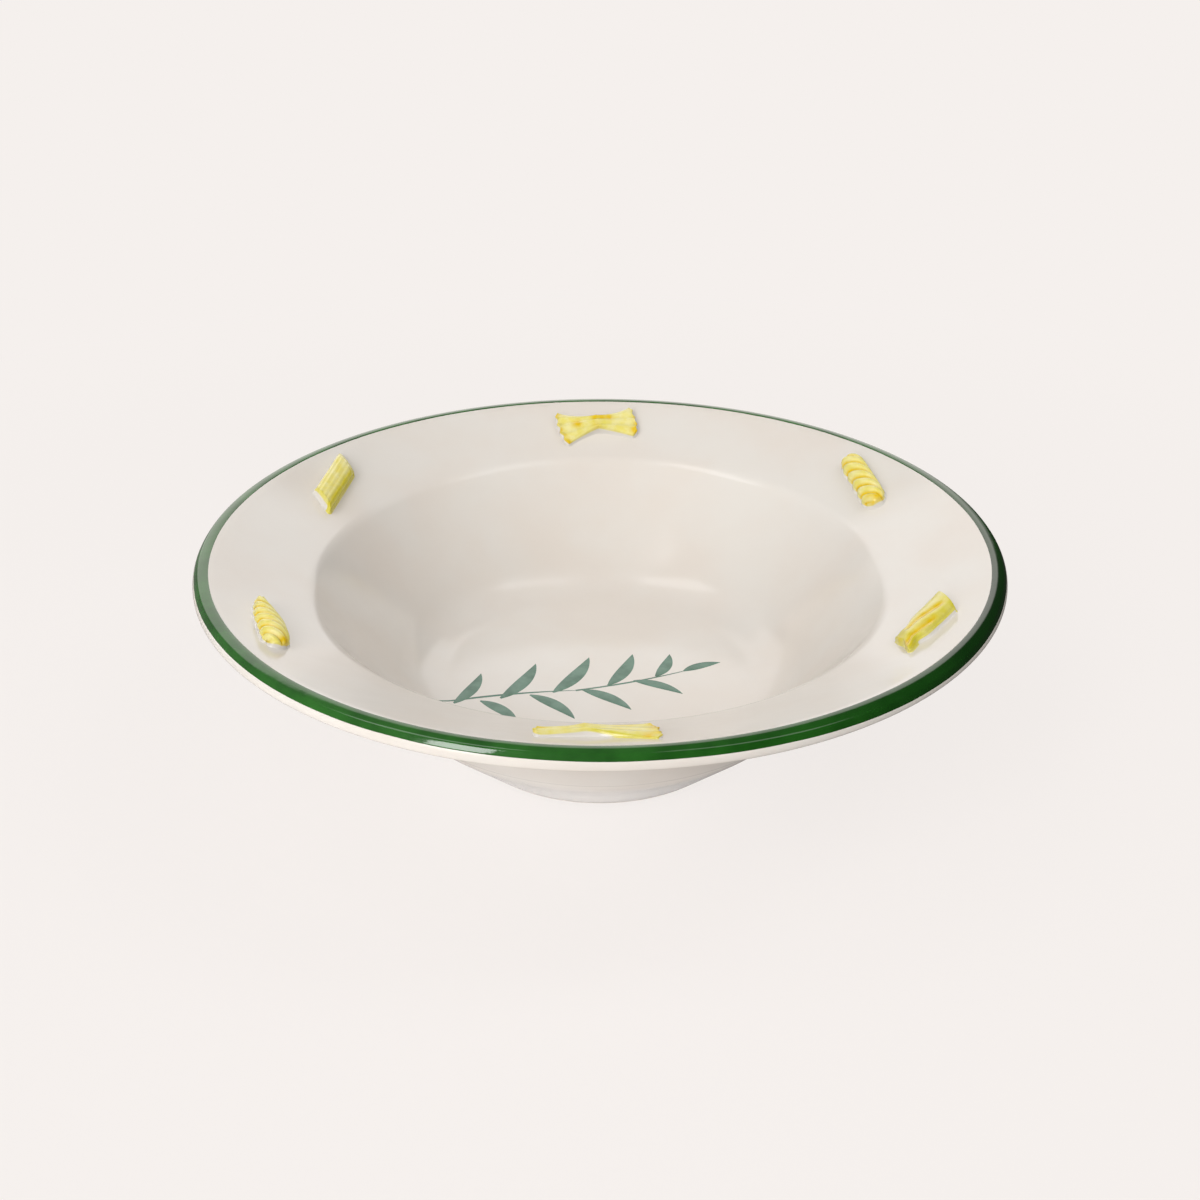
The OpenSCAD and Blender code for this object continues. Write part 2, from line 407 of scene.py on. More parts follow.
def green_glaze():
    """Brushed green, deeper in patches, and darkest on the right front, where shade is painted into
    it.
    """
    nodes = material_nodes("green_glaze")
    load = nodes.ramp(nodes.noise(14, 3, 0.6), 0.3, 0.75)
    # Painted shade darkens the green towards the band's right front
    tint = nodes.mix(nodes.read("painted_shade"), nodes.mix(load, GREEN, GREEN_DEEP), GREEN_PAINTED_SHADE)
    return nodes.glazed(tint, 0.1, glaze_bump(nodes, 0.02), GREEN_IOR)


def ornament_glaze():
    nodes = material_nodes("ornament_glaze")
    load = nodes.ramp(nodes.noise(7, 3, 0.6), 0.25, 0.8)
    tint = nodes.mix(load, GREY_GREEN, GREY_GREEN_DEEP)
    return nodes.glazed(tint, 0.12, glaze_bump(nodes, 0.01), CREAM_IOR)


def painted_glaze():
    """Pale yellow wash, richer in places, with ochre run together, over sides left bare."""
    nodes = material_nodes("painted_glaze")
    patchy = nodes.noise(3.5, 3, 0.6)
    wash = nodes.mix(nodes.ramp(patchy, 0.3, 0.7), YELLOW_PALE, YELLOW)
    fill_patches = nodes.ramp(patchy, 0.2, 0.7, 0.7, 1.1)
    fill = nodes.math("MULTIPLY", nodes.read("rich"), fill_patches, clamp=True)
    wash = nodes.mix(fill, wash, YELLOW_RICH)
    line_patches = nodes.ramp(patchy, 0.2, 0.7, 0.7, 1.2)
    line = nodes.math("MULTIPLY", nodes.read("ochre"), line_patches, clamp=True)
    tint = nodes.mix(line, wash, OCHRE)
    uneven_bare = nodes.math("ADD", nodes.read("bare"), nodes.math("MULTIPLY", patchy, 0.25))
    tint = nodes.mix(nodes.ramp(uneven_bare, 0.4, 0.75), tint, SLIP)
    return nodes.glazed(tint, 0.13, glaze_bump(nodes, 0.01), CREAM_IOR)


cream = cream_glaze()
green = green_glaze()
painted = painted_glaze()

# The plate's body, foot and band

SEGMENTS = 300

# The body's hidden side leaves the wall this far up from the crease, and runs on inside the
# foot, this far in and down from the crease and in from the recess's edge
HIDDEN_UP = 3.2
HIDDEN_IN = 8
HIDDEN_DOWN = 2
HIDDEN_IN_RECESS = 3

# The foot's piece starts inside the wall and comes out of it to soften the crease. Both
# places are given up the wall from the crease and out from its surface.
FOOT_START = (9, -0.1)
FOOT_COMES_OUT = (3.6, 0.02)
CREASE_ROUND = 40
# It ends round the recess's corner, a little below the ceiling, and then sinks into that
CEILING_ROUND = 1
CEILING_GAP = 0.2
CEILING_LAP = 6
CEILING_SUNK = 0.3

# How far the body is drawn in under the band, and the width over which that begins
BAND_SKIN = 0.14
BAND_BLEND = 1.2
BAND_STEPS = 40
# How far inside the finished line the brushed line starts and ends, and how much and over
# what lengths its two edges waver
START_INSET = 0.12
START_WAVER = 0.12
START_WAVE = 9
END_INSET = 0.1
END_WAVER = 0.1
END_WAVE = 7
# Circle, in noise, round which the edges waver, and the height of the lower edge's
WAVER_R = 60
END_LAYER = 50
# The band's edges are tucked into the body, and the glaze is thickest just inside them: how
# much thicker, and the widths over which that rises and falls
EDGE_TUCK = 0.05
EDGE_LIFT = 0.03
EDGE_RISE_W = 0.4
EDGE_FALL_W = 1.5
# The bead that the glaze drew up low on the lip: its height, its width and its distance from
# the lower edge
BEAD = 0.2
BEAD_W = 0.85
BEAD_UP = 1.9
# Where round the lip the green is painted darkest, as painted shade on the side away from the lamps,
# and over what angle
PAINTED_SHADE_ANGLE = math.radians(-22)
PAINTED_SHADE_SPREAD = 0.75
# How far the brushed line sags where it hangs lowest, where that is, and over what angle
BAND_SAG = 1.08
LOWEST = math.radians(-47)
LOWEST_SPREAD = math.radians(24)


def body_corners():
    return [
        [0, FLOOR_H, 0],
        [FLOOR_R, FLOOR_H, WELL_ROUND],
        [SHOULDER_R, rim_z(SHOULDER_R), SHOULDER_ROUND],
        [PLATE_R, rim_z(PLATE_R), LIP_TOP_ROUND],
        [PLATE_R, under_z(PLATE_R), LIP_LOW_ROUND],
        [UNDER_R, under_z(UNDER_R), SHOULDER_ROUND],
        [*under_wall(HIDDEN_UP), 0],
        [CREASE_R - HIDDEN_IN, FOOT_H - HIDDEN_DOWN, 0],
        [RECESS_R - HIDDEN_IN_RECESS, RECESS_DEPTH, 0],
        [0, RECESS_DEPTH, 0],
    ]


def body_section():
    """The body's outline, drawn in a little where the band covers it."""
    inner = PLATE_R - BAND_W
    lip_middle = np.array([PLATE_R - LIP_TOP_ROUND, PLATE_H - LIP_TOP_ROUND])
    drawn = []
    for r, z in outline(body_corners(), steps=18):
        depth = 0
        if r > inner and z > BAND_LOW:
            # The lower edge is drawn in twice as fast
            from_edge = min(r - inner, (z - BAND_LOW) * 2)
            depth = BAND_SKIN * min(1, from_edge / BAND_BLEND)
        place = np.array([r, z])
        drawn.append(place - unit(place - lip_middle) * depth)
    return np.array(drawn)


def make_body():
    vertices, faces = lathe(body_section(), SEGMENTS)
    new_piece("glazed_body", vertices, faces, cream, ["plate_body"])


def make_foot():
    points = outline([
        [*under_wall(*FOOT_START), 0],
        [*under_wall(*FOOT_COMES_OUT), 0],
        [CREASE_R, FOOT_H, CREASE_ROUND],
        [FOOT_R, 0, FOOT_ROUND],
        [RECESS_R, 0, FOOT_ROUND],
        [RECESS_R - FOOT_ROUND, RECESS_DEPTH - CEILING_GAP, CEILING_ROUND],
        [RECESS_R - CEILING_LAP, RECESS_DEPTH + CEILING_SUNK, 0],
    ], steps=10)
    vertices, faces = lathe(points, SEGMENTS)
    new_piece("glazed_foot", vertices, faces, foot_glaze(), ["foot_ring"])


def lip_line():
    """The finished line over the lip, from the band's inner edge down to its lowest edge,
    with its normals and the length along it."""
    inner, low = PLATE_R - BAND_W, BAND_LOW - BAND_SAG
    points = outline(body_corners(), steps=40, pitch=0.4)
    line = np.array([p for p in points if p[0] >= inner and p[1] >= low])
    along = np.gradient(line, axis=0)
    along /= np.linalg.norm(along, axis=1)[:, None]
    normals = np.stack([-along[:, 1], along[:, 0]], 1)
    length = np.concatenate([[0], np.cumsum(np.linalg.norm(np.diff(line, axis=0), axis=1))])
    return line, normals, length


def ripple(x, y, z, size):
    """Smooth noise from -1 to 1, with bumps about size millimetres wide."""
    return noise.noise(Vector((x / size, y / size, z / size)))


def angle_between(a, b):
    return math.acos(math.cos(a - b))


def make_band():
    """A brushed line of green over the lip, whose edges waver a little."""
    line, normals, length = lip_line()
    crown = int(np.argmax(line[:, 1]))
    vertices, faces, painted_shade = [], [], []
    for i in range(SEGMENTS):
        angle = 2 * math.pi * i / SEGMENTS
        c, s = math.cos(angle), math.sin(angle)
        x, y = c * WAVER_R, s * WAVER_R
        start = START_INSET + START_WAVER * ripple(x, y, 0, START_WAVE)
        sag = BAND_SAG * bell(angle_between(angle, LOWEST), LOWEST_SPREAD)
        end = float(np.interp(sag - BAND_LOW, -line[crown:, 1], length[crown:]))
        end += END_WAVER * ripple(x, y, END_LAYER, END_WAVE) - END_INSET
        for j in range(BAND_STEPS + 1):
            t = start + (end - start) * j / BAND_STEPS
            at = np.array([np.interp(t, length, line[:, k]) for k in (0, 1)])
            normal = np.array([np.interp(t, length, normals[:, k]) for k in (0, 1)])
            from_edge = min(t - start, end - t)
            on_edge = j in (0, BAND_STEPS)
            lift = -EDGE_TUCK if on_edge else EDGE_LIFT * min(1, from_edge / EDGE_RISE_W)
            lift -= EDGE_LIFT * min(1, from_edge / EDGE_FALL_W)
            bead = BEAD * bell(end - t - BEAD_UP, BEAD_W)
            r, z = at + normal * (lift + bead)
            vertices.append((r * c, r * s, z))
            # Painted shade, strongest on the lip's right front
            painted_shade.append(bell(angle_between(angle, PAINTED_SHADE_ANGLE), PAINTED_SHADE_SPREAD))
    row = BAND_STEPS + 1
    for i in range(SEGMENTS):
        here, there = i * row, (i + 1) % SEGMENTS * row
        for j in range(BAND_STEPS):
            faces.append((here + j, here + j + 1, there + j + 1, there + j))
    band = new_piece("green_band", vertices, faces, green, ["rim_band"])
    attribute(band, "painted_shade", painted_shade)


# Reliefs

# Rings down a relief's side: share of its height, reach outwards in millimetres, and how bare
SIDE_RINGS = [
    (0.95, 0.1, 0),
    (0.82, 0.22, 0.1),
    (0.6, 0.3, 0.45),
    (0.3, 0.38, 0.9),
    (0.12, 0.5, 1),
    (0.04, 0.65, 1),
    (0, 0.85, 1),
]
# How far the last ring lies under the rim's surface
SIDE_SUNK = 0.15
# Share of the rich paint that is left at the foot of the side. Paint richer than the second
# value covers the bare side too, the more so by the third.
SIDE_RICH_SHARE = 0.4
COVERS_FROM = 0.9
COVERS_PACE = 8
# How many neighbours on each side smooth the direction outwards, and the side's own line
OUTWARD_REACH = 4
SIDE_REACH = 6


def seat_z(x, y):
    """Height of the rim's cone above its tangent plane at the local place x, y."""
    c, s = math.cos(RIM_SLOPE), math.sin(RIM_SLOPE)
    return c * (RIM_RISE * (math.hypot(RELIEF_R + x * c, y) - RELIEF_R) - x * s)


def on_rim(angle, turn, x, y, height):
    """The place in the frame of a relief's own point: x out, y round the rim, height off it."""
    ct, st = math.cos(turn), math.sin(turn)
    x, y = x * ct - y * st, x * st + y * ct
    z = seat_z(x, y) + height
    c, s = math.cos(RIM_SLOPE), math.sin(RIM_SLOPE)
    out, up = RELIEF_R + x * c - z * s, rim_z(RELIEF_R) + x * s + z * c
    ca, sa = math.cos(angle), math.sin(angle)
    return (out * ca - y * sa, out * sa + y * ca, up)


def outwards(loop):
    """Directions that point out of a loop of places as seen from above, smoothed along it."""
    flat = loop[:, :2]
    along = np.roll(flat, -1, axis=0) - np.roll(flat, 1, axis=0)
    outward = np.stack([along[:, 1], -along[:, 0]], 1)
    if np.mean(np.sum(outward * (flat - flat.mean(0)), 1)) < 0:
        outward = -outward
    reach = range(-OUTWARD_REACH, OUTWARD_REACH + 1)
    outward = sum(np.roll(outward, n, axis=0) * (OUTWARD_REACH + 1 - abs(n)) for n in reach)
    return outward / np.maximum(np.linalg.norm(outward, axis=1), 1e-6)[:, None]


def make_relief(name, node, angles, mould, ribs, cells):
    """A relief from its mould, a function of k and s from -1 to 1 along and across the piece
    that gives x, y, height and the strengths of its ochre and rich paint. Its sides are
    rounded over, left bare and flare into the rim."""
    angle, turn = (math.radians(a) for a in angles)
    points, ochre, rich, bare = [], [], [], []
    for i in range(ribs + 1):
        for j in range(cells + 1):
            x, y, height, line, fill = mould(2 * i / ribs - 1, 2 * j / cells - 1)
            points.append((x, y, height))
            ochre.append(min(1, line))
            rich.append(min(1, fill))
            bare.append(0)
    faces = grid_faces(ribs, cells)
    edge = grid_edge(ribs, cells)
    loop = np.array([points[e] for e in edge])
    outward = outwards(loop)
    reach = range(-SIDE_REACH, SIDE_REACH + 1)
    smooth = sum(np.roll(loop, n, axis=0) for n in reach) / len(reach)
    before = edge
    for share, out, plain in SIDE_RINGS:
        first = len(points)
        low = -SIDE_SUNK if share == 0 else 0
        for q, o, e in zip(loop * share + smooth * (1 - share), outward, edge):
            points.append((q[0] + o[0] * out, q[1] + o[1] * out, q[2] * share + low))
            ochre.append(ochre[e] * (1 - plain))
            rich.append(rich[e] * (SIDE_RICH_SHARE + (1 - SIDE_RICH_SHARE) * share))
            bare.append(plain * (1 - max(0, rich[e] - COVERS_FROM) * COVERS_PACE))
        ring = list(range(first, first + len(edge)))
        for i in range(len(edge)):
            j = (i + 1) % len(edge)
            faces.append((before[i], ring[i], ring[j], before[j]))
        before = ring
    vertices = [on_rim(angle, turn, *p) for p in points]
    piece = new_piece(name, vertices, faces, painted, [node])
    attribute(piece, "ochre", ochre)
    attribute(piece, "rich", rich)
    attribute(piece, "bare", bare)


def dabs(x, y, spots):
    """Strength at x, y of hand-painted spots, each given as x, y, size and strength."""
    total = 0
    for spot_x, spot_y, size, strength in spots:
        total += strength * math.exp(-((x - spot_x) ** 2 + (y - spot_y) ** 2) / size ** 2)
    return total


def dome(s, side_share, power):
    """Height across a rounded piece, from side_share at its sides to 1 in the middle."""
    return side_share + (1 - side_share) * math.cos(math.pi / 2 * s) ** power


def bow(k, s, wings, ends, spots, teeth=4):
    """Farfalle: two fluted wings with toothed ends, drawn in at the pinch. k is 1 at the end
    of the first wing. wings gives both lengths, and ends each wing's half width and how far
    its end lies off the middle."""
    pinch_half, tooth_depth, wing_h, pinch_rise = 3.2, 0.9, 2.4, 1.3
    t = abs(k)
    across_teeth = math.pi / 2 * teeth * (s + 1)
    wide, off = ends[0] if k > 0 else ends[1]
    half = pinch_half + wide * t ** 1.25 - pinch_half * t
    # The first wing's end is slanted and rounded, and the second's has a corner cut off
    if k > 0:
        length = wings[0] + 0.9 * s - s * s
    else:
        length = wings[1] - 0.6 * s * s - 2.6 * max(0, -s - 0.55)
    tooth = tooth_depth * abs(math.cos(across_teeth)) * t ** 8
    x = off * t + s * half
    y = math.copysign(length * t - tooth, k)
    flutes = 0.32 * math.cos(3 * math.pi * s) * t
    folds = 0.45 * math.cos(2 * math.pi * s) * (1 - t) ** 3
    height = wing_h + pinch_rise * (1 - t) ** 1.6 + (flutes + folds) - 0.5 * abs(s) ** 6
    height += 0.22 * (1 + math.cos(2 * across_teeth)) * t ** 10
    line = dabs(x, y, spots) + 0.3 * t ** 14 * abs(math.sin(across_teeth))
    return x, y, height, line, 0.35 * bell(k, 0.4) + 0.4 * t ** 10


def bow_far(k, s):
    """The bow at the back, which lies a little further out."""
    wings, ends = (15.8, 15.6), ((8.8, -0.5), (7.9, -1.6))
    spots = [
        [2.2, 0.6, 1.5, 0.9], [1.8, -2.2, 1.3, 1], [1.4, -5, 1.5, 1.2], [0.2, 8.1, 1.8, 1.2],
        [-7.3, -14.2, 1.7, 1.4], [-9.4, 13.2, 1.7, 1], [-2, 15, 1.1, 0.6], [-5.5, 14.4, 1.1, 0.6],
        [-0.7, -15, 1, 0.6], [-3.6, -15, 1, 0.6], [6.6, 15.4, 1.4, 0.6], [-2.2, 0.8, 1.8, 0.4],
    ]
    x, y, height, line, fill = bow(k, s, wings, ends, spots)
    return x + 0.9, y, height, line, fill


def bow_near(k, s):
    """The flatter bow at the front, with paint down the outer side of its right wing."""
    wings, ends, teeth = (19, 13.6), ((8, 2.4), (3.4, 2)), 5
    spots = [
        [-4, 9, 2, 0.8], [-3.3, 12, 1.6, 0.5], [8.5, 15.5, 1.6, 1], [2.5, 18, 1.4, 0.9],
        [6.5, 18.4, 1.2, 0.8], [-2, 18, 1.4, 0.7], [-2, 0.4, 2, 0.4], [0, -11.5, 1.6, 0.35],
    ]
    x, y, height, line, fill = bow(k, s, wings, ends, spots, teeth)
    right, left, outer = max(0, k), max(0, -k), (s + 1) / 2
    height = height * 0.64 - 0.15 * left - 0.6 * right * outer ** 2
    side_share = min(1, 8 * right) * outer ** 12
    side = 0.9 + 0.12 * min(1, max(0, 2.4 * right - 0.3))
    return x, y, height, line, fill * (1 - side_share) + side * side_share


def penne_far(k, s):
    """Ridged tube with slanted ends, pale on top and richer down its right side, where the rich paint
    is partly painted shade on the side away from the lamps.
    """
    half_w, half_l, tallest, slant, ridges = 4.3, 13.4, 4, math.radians(43), 7
    x = half_w * math.sin(math.pi / 2 * s)
    y = half_l * k - x * math.tan(slant)
    ridge = math.cos(ridges * math.pi * s)
    height = tallest * dome(s, 0.34, 0.7) + 0.06 * ridge
    height *= 1 - 0.4 * bell(k + 1, 0.13)
    line = 0.24 * max(0, -ridge) ** 3 * (0.7 + 0.3 * math.cos(3 * k + 5 * s))
    line += 0.2 * bell(s + 0.55, 0.08)
    # Rich paint down the flank, partly painted shade on the side away from the lamps
    flank_paint_and_shade = 1.1 * rising(-s - 0.42, 16) * (1 - 0.5 * abs(k) ** 30)
    end = (0.55 if k > 0 else 0.965) * abs(k) ** 16
    return x, y, height, line, flank_paint_and_shade + end


def penne_near(k, s):
    """Tube with two deep painted folds, waisted before a flared and notched end."""
    half_w, half_l, tallest, slant = 4.9, 13.7, 4.3, math.radians(41)
    notch_depth, fold_depth = 0.9, 0.6
    low_end = bell(k + 1, 0.22)
    waist = bell(k + 0.6, 0.24)
    x = half_w * (1 - 0.22 * waist) * math.sin(math.pi / 2 * s)
    notch = notch_depth * bell(s - 0.1, 0.22) * max(0, -k) ** 14
    y = half_l * k - x * math.tan(slant) + notch
    upper = bell(s - 0.02 - 0.35 * k, 0.13) * rising(0.7 - abs(k - 0.05), 14)
    lower = bell(s - 0.56 - 0.2 * k, 0.15) * rising(0.62 - abs(k + 0.4), 14)
    height = tallest * dome(s, 0.36, 0.8) * (1 - 0.14 * waist) * (1 - 0.42 * low_end)
    height -= fold_depth * (upper + lower)
    spots = dabs(x, y, [[2.6, -16, 1.6, 0.9], [-2, -12.5, 1.4, 0.4]])
    fill = 0.1 + 0.3 * max(0, k) ** 10 + 0.6 * rising(s, 6) + 1.1 * rising(-k - 0.74, 14)
    return x, y, height, 1.2 * upper + 1.2 * lower + spots, fill


def blades(fall, pitch, left):
    """Place within a blade, from 0 at its upper groove to 1, and the strength of that
    groove's paint, from the distance that a point lies down the blades' sweep."""
    part = (fall / pitch) % 1
    from_groove = min(part, 1 - part)
    paint = bell(from_groove, 0.14) * (1 - 0.72 * left) + bell(from_groove, 0.09) * 0.25
    return part, paint


def spiral_far(k, s):
    """Fusilli: blades that sweep down from left to right, with paint run into their left ends."""
    half_w, half_l, tallest, pitch = 4.15, 16.2, 4.7, 5.7
    left = (s + 1) / 2
    fall = 17 - 17 * k - 0.5 * left - 9 * left * left
    part, groove = blades(fall + 1.5, pitch, left)
    blade = math.sin(math.pi * part) ** 0.7
    half = half_w * math.sqrt(1 - 0.5 * abs(k) ** 7) * (0.86 + 0.18 * blade)
    x = half * math.sin(math.pi / 2 * s) - 0.8 * max(0, -k) ** 2
    y = half_l * k - 2 * s * s * k ** 5
    height = tallest * dome(s, 0.36, 0.9) * (1 - 0.3 * k ** 8) * (0.76 + 0.28 * blade)
    spots = dabs(x, y, [[0.4, -15, 1.8, 1], [-2.4, -13, 1.2, 0.6], [-3.6, 14.5, 1.5, 0.6]])
    return x, y, height, groove + spots, 0.35 * (1 - part)


def spiral_near(k, s):
    """Fusilli: narrow at its far end, with blades that sweep steeply down its right side."""
    far_half_w, more_w, half_l, tallest, pitch = 1.3, 2.6, 16, 4.4, 5.4
    left, low = (1 - s) / 2, max(0, k)
    fall = 17 * k + 17 - 2 * left - 14 * left ** 2.4
    part, groove = blades(fall - 1.5, pitch, left * 0.55)
    blade = math.sin(math.pi * part) ** 0.7
    wide = min(1, (k + 1) / 1.1)
    half = far_half_w + more_w * wide * (2 - wide)
    half *= math.sqrt(1 - 0.5 * low ** 7) * (0.88 + 0.16 * blade)
    x = half * math.sin(math.pi / 2 * s) + 1.7 - 0.4 * k + 1.2 * (1 - wide)
    y = half_l * k - 2.6 * s * s * low ** 5
    height = tallest * dome(s, 0.36, 0.9)
    height *= (1 - 0.5 * low ** 5) * (0.7 + 0.3 * wide) * (0.74 + 0.3 * blade)
    last_blade = rising(fall - 27, 1.2)
    spots = dabs(x, y, [[-0.4, 14.6, 1.3, 1.1]])
    return x, y, height, groove * (1 - 0.5 * last_blade) + spots, 0.3 * (1 - part)


# Each relief: its node, its angle round the rim and turn on it in degrees, its mould, and
# the cells of its grid along and across
RELIEFS = [
    ("bow_back", (90.5, 10), bow_far, 120, 96),
    ("bow_front", (268, 6), bow_near, 120, 100),
    ("penne_upper_left", (151.5, 20), penne_far, 80, 84),
    ("penne_lower_right", (331, -11), penne_near, 100, 84),
    ("spiral_upper_right", (29, -20), spiral_far, 170, 44),
    ("spiral_lower_left", (209.7, -12), spiral_near, 170, 44),
]


def make_reliefs():
    for node, angles, mould, ribs, cells in RELIEFS:
        make_relief("painted_" + node, node, angles, mould, ribs, cells)


# The sprig painted in the well

# Stem and leaves: start, end, bend, width and bluntness, in millimetres and shares
SPRIG = [
    [[-53, -17], [-8, -9], 0.06, 1.1, 0.7],
    [[-8, -9], [27, 3], -0.05, 0.9, 1],
    [[-45, -16.4], [-38, 1], -0.16, 4.6, 0.15],
    [[-37, -15], [-25, -27], 0.15, 4.4, 0.15],
    [[-31, -13.6], [-21, 7], -0.15, 5.2, 0.15],
    [[-22, -11.6], [-8, -25], 0.15, 4.6, 0.15],
    [[-15, -10.2], [-4, 11], -0.14, 5.4, 0.15],
    [[-6, -8.6], [9, -20], 0.15, 4.6, 0.15],
    [[2, -6], [10, 13], -0.14, 5, 0.15],
    [[10, -3.2], [25, -11], 0.16, 4.2, 0.15],
    [[17, -0.8], [22, 13], -0.15, 4.2, 0.15],
    [[26, 2.6], [38, 8], 0.12, 3.8, 0.2],
]
SPRIG_SCALE = 1.1
SPRIG_PLACE = np.array([0.5, -1.5])
STROKE_STEPS = 26
STROKE_CELLS = 6
THINNEST_HALF = 0.08
# Height of a stroke's middle off the well, and how far its sides fall from there
STROKE_LIFT = 0.07
STROKE_FALL = 0.09
WELL_LINE = outline(body_corners()[:3] + [[PLATE_R, rim_z(PLATE_R), 0]], pitch=1)


def well_z(r):
    """Height of the finished upper side at radius r, inside the shoulder."""
    return float(np.interp(r, WELL_LINE[:, 0], WELL_LINE[:, 1]))


def brush_stroke(start, end, bend, width, blunt):
    """Rows across a curved stroke, each with its place, the direction across it and its half
    width. bend is the bow's share of the stroke's length, and blunt keeps some width at the
    start."""
    a, c = np.array(start, float), np.array(end, float)
    side = np.array([a[1] - c[1], c[0] - a[0]])
    b = (a + c) / 2 + side * bend
    rows = []
    for i in range(STROKE_STEPS + 1):
        t = i / STROKE_STEPS
        place = (1 - t) ** 2 * a + 2 * t * (1 - t) * b + t * t * c
        along = unit((1 - t) * (b - a) + t * (c - b))
        swell = max(math.sin(math.pi * t ** 0.85) ** 0.8, blunt * (1 - t) ** 0.3)
        across = np.array([-along[1], along[0]])
        rows.append((place, across, max(THINNEST_HALF, width / 2 * swell)))
    return rows


def make_sprig():
    """Filled brush strokes that lie a hair's breadth proud of the floor."""
    vertices, faces = [], []
    for stroke in SPRIG:
        faces += grid_faces(STROKE_STEPS, STROKE_CELLS, len(vertices))
        for place, across, half in brush_stroke(*stroke):
            for j in range(STROKE_CELLS + 1):
                u = 2 * j / STROKE_CELLS - 1
                x, y = (place + across * half * u) * SPRIG_SCALE + SPRIG_PLACE
                z = well_z(math.hypot(x, y)) + STROKE_LIFT - STROKE_FALL * u ** 4
                vertices.append((x, y, z))
    new_piece("painted_sprig", vertices, faces, ornament_glaze())


# Studio, in metres

# The photograph's view, 0.45 m from the lip's centre and looking down
CAMERA_PLACE = (0, -0.4062, 0.2645)
CAMERA_DOWN = math.radians(28.04)
LENS_MM = 40.91
SENSOR_MM = 36

# Even light from all round. Low on the right less of it comes in: the share there, and the
# ranges of the direction's X and Z over which it changes.
WORLD_LIGHT = 0.44
WORLD_TINT = (1, 0.985, 0.97, 1)
WORLD_LOW_RIGHT = 0.15
WORLD_RIGHTWARD = (0.35, 0.85)
WORLD_UPWARD = (0.12, 0.34)

# The table top's own glow, by the distance from the plate's axis. It fades out under the
# rim, and a share of it is left where the foot stands.
FLOOR_GLOW_NEAR = 0.78
FLOOR_GLOW_FAR = 0.04
FLOOR_GLOW_FADE = (0.065, 0.1)
FLOOR_TINT = (0.92, 1.0, 1.08, 1)
CONTACT_SHARE = 0.3
CONTACT_FADE = (0.049, 0.064)
# Share of the table top's bounced light on the right, and the range of X over which it falls
BOUNCE_RIGHT = 0.35
BOUNCE_FADE = (0.02, 0.14)
# Share of the plate's shadow that shows on the table top, and the distances where it fades
SHADOW_SHARE = 0.12
SHADOW_FADE = (0.2, 0.55)
TABLE_R_M = 9.0
TABLE_SIDES = 64

# What the glaze mirrors: a lit backdrop behind the plate, in a room that is dim on the left
# and dark on the right. The ranges are those of the direction's X, Y and Z over which the
# backdrop's sides, its near end and its top fade, and the room darkens.
BACKDROP_LIGHT = 1.6
BACKDROP_LEFT = (-0.65, -0.5)
BACKDROP_RIGHT = (0.3, 0.42)
BACKDROP_NEAR = (0.1, 0.4)
BACKDROP_TOP = (0.6, 0.68)
ROOM_LEFT = 0.3
ROOM_RIGHT = 0.04
ROOM_ACROSS = (-0.6, 0.6)
# The table top in front of the backdrop is darker, below the range of Z given
TABLE_MIRRORED = 0.36
TABLE_EDGE = (-0.005, 0.02)
# The table top under the rim, as the foot and the wall mirror it, the distances where it
# fades, its share on the right and the range of X over which that falls
UNDER_RIM_MIRRORED = 0.46
UNDER_RIM_FADE = (0.08, 0.16)
UNDER_RIM_RIGHT = 0.4
UNDER_RIM_TURN = (-0.04, 0.07)

# Lamps: place, size, power, and whether the glaze mirrors them
LAMPS = {
    "key": ((-0.6, -1.15, 1.05), (2.0, 0.9), 7.0, False),
    "front_low": ((-0.75, -1.5, 0.3), (1.0, 0.5), 5.7, False),
    "front_left": ((-0.94, -1.24, 1.05), (0.46, 0.8), 8.8, True),
    "right_high": ((0.8, 0.0, 1.05), (0.4, 0.6), 2.8, False),
    "glint_left": ((-0.56, -0.05, 1.2), (0.4, 0.65), 1.7, True),
    "glint_right": ((0.5, -0.05, 1.25), (0.35, 0.65), 1.0, True),
}
LAMP_TARGET = Vector((0, 0, 0.05))


def make_camera():
    lens = bpy.data.cameras.new("camera")
    lens.sensor_width = SENSOR_MM
    lens.lens = LENS_MM
    camera = bpy.data.objects.new("camera", lens)
    camera.location = CAMERA_PLACE
    camera.rotation_euler = (math.pi / 2 - CAMERA_DOWN, 0, 0)
    bpy.context.scene.collection.objects.link(camera)
    bpy.context.scene.camera = camera


def mirrored_light(nodes, place):
    """Strength of the light that comes from the place or direction given, as the glaze mirrors it."""
    way = nodes.add("ShaderNodeVectorMath", operation="NORMALIZE")
    nodes.put(way.inputs[0], place)
    axes = nodes.axes(way.outputs[0])
    parts = [
        nodes.ramp(axes["X"], *BACKDROP_RIGHT, 1, 0),
        nodes.ramp(axes["Z"], *BACKDROP_TOP, 1, 0),
        nodes.ramp(axes["Y"], *BACKDROP_NEAR),
        nodes.ramp(axes["Z"], *TABLE_EDGE, TABLE_MIRRORED, 1),
        BACKDROP_LIGHT,
    ]
    lit = nodes.ramp(axes["X"], *BACKDROP_LEFT)
    for part in parts:
        lit = nodes.math("MULTIPLY", lit, part)
    room = nodes.ramp(axes["X"], *ROOM_ACROSS, ROOM_LEFT, ROOM_RIGHT)
    return nodes.math("MAXIMUM", lit, room)


def by_rays(nodes, plain, mirrored, seen):
    """Puts out one shader for light in general, one for reflections and one for the camera."""
    rays = nodes.add("ShaderNodeLightPath").outputs
    shader = nodes.blend(rays["Is Glossy Ray"], plain, mirrored)
    shader = nodes.blend(rays["Is Camera Ray"], shader, seen)
    nodes.put(nodes.output.inputs["Surface"], shader.outputs[0])


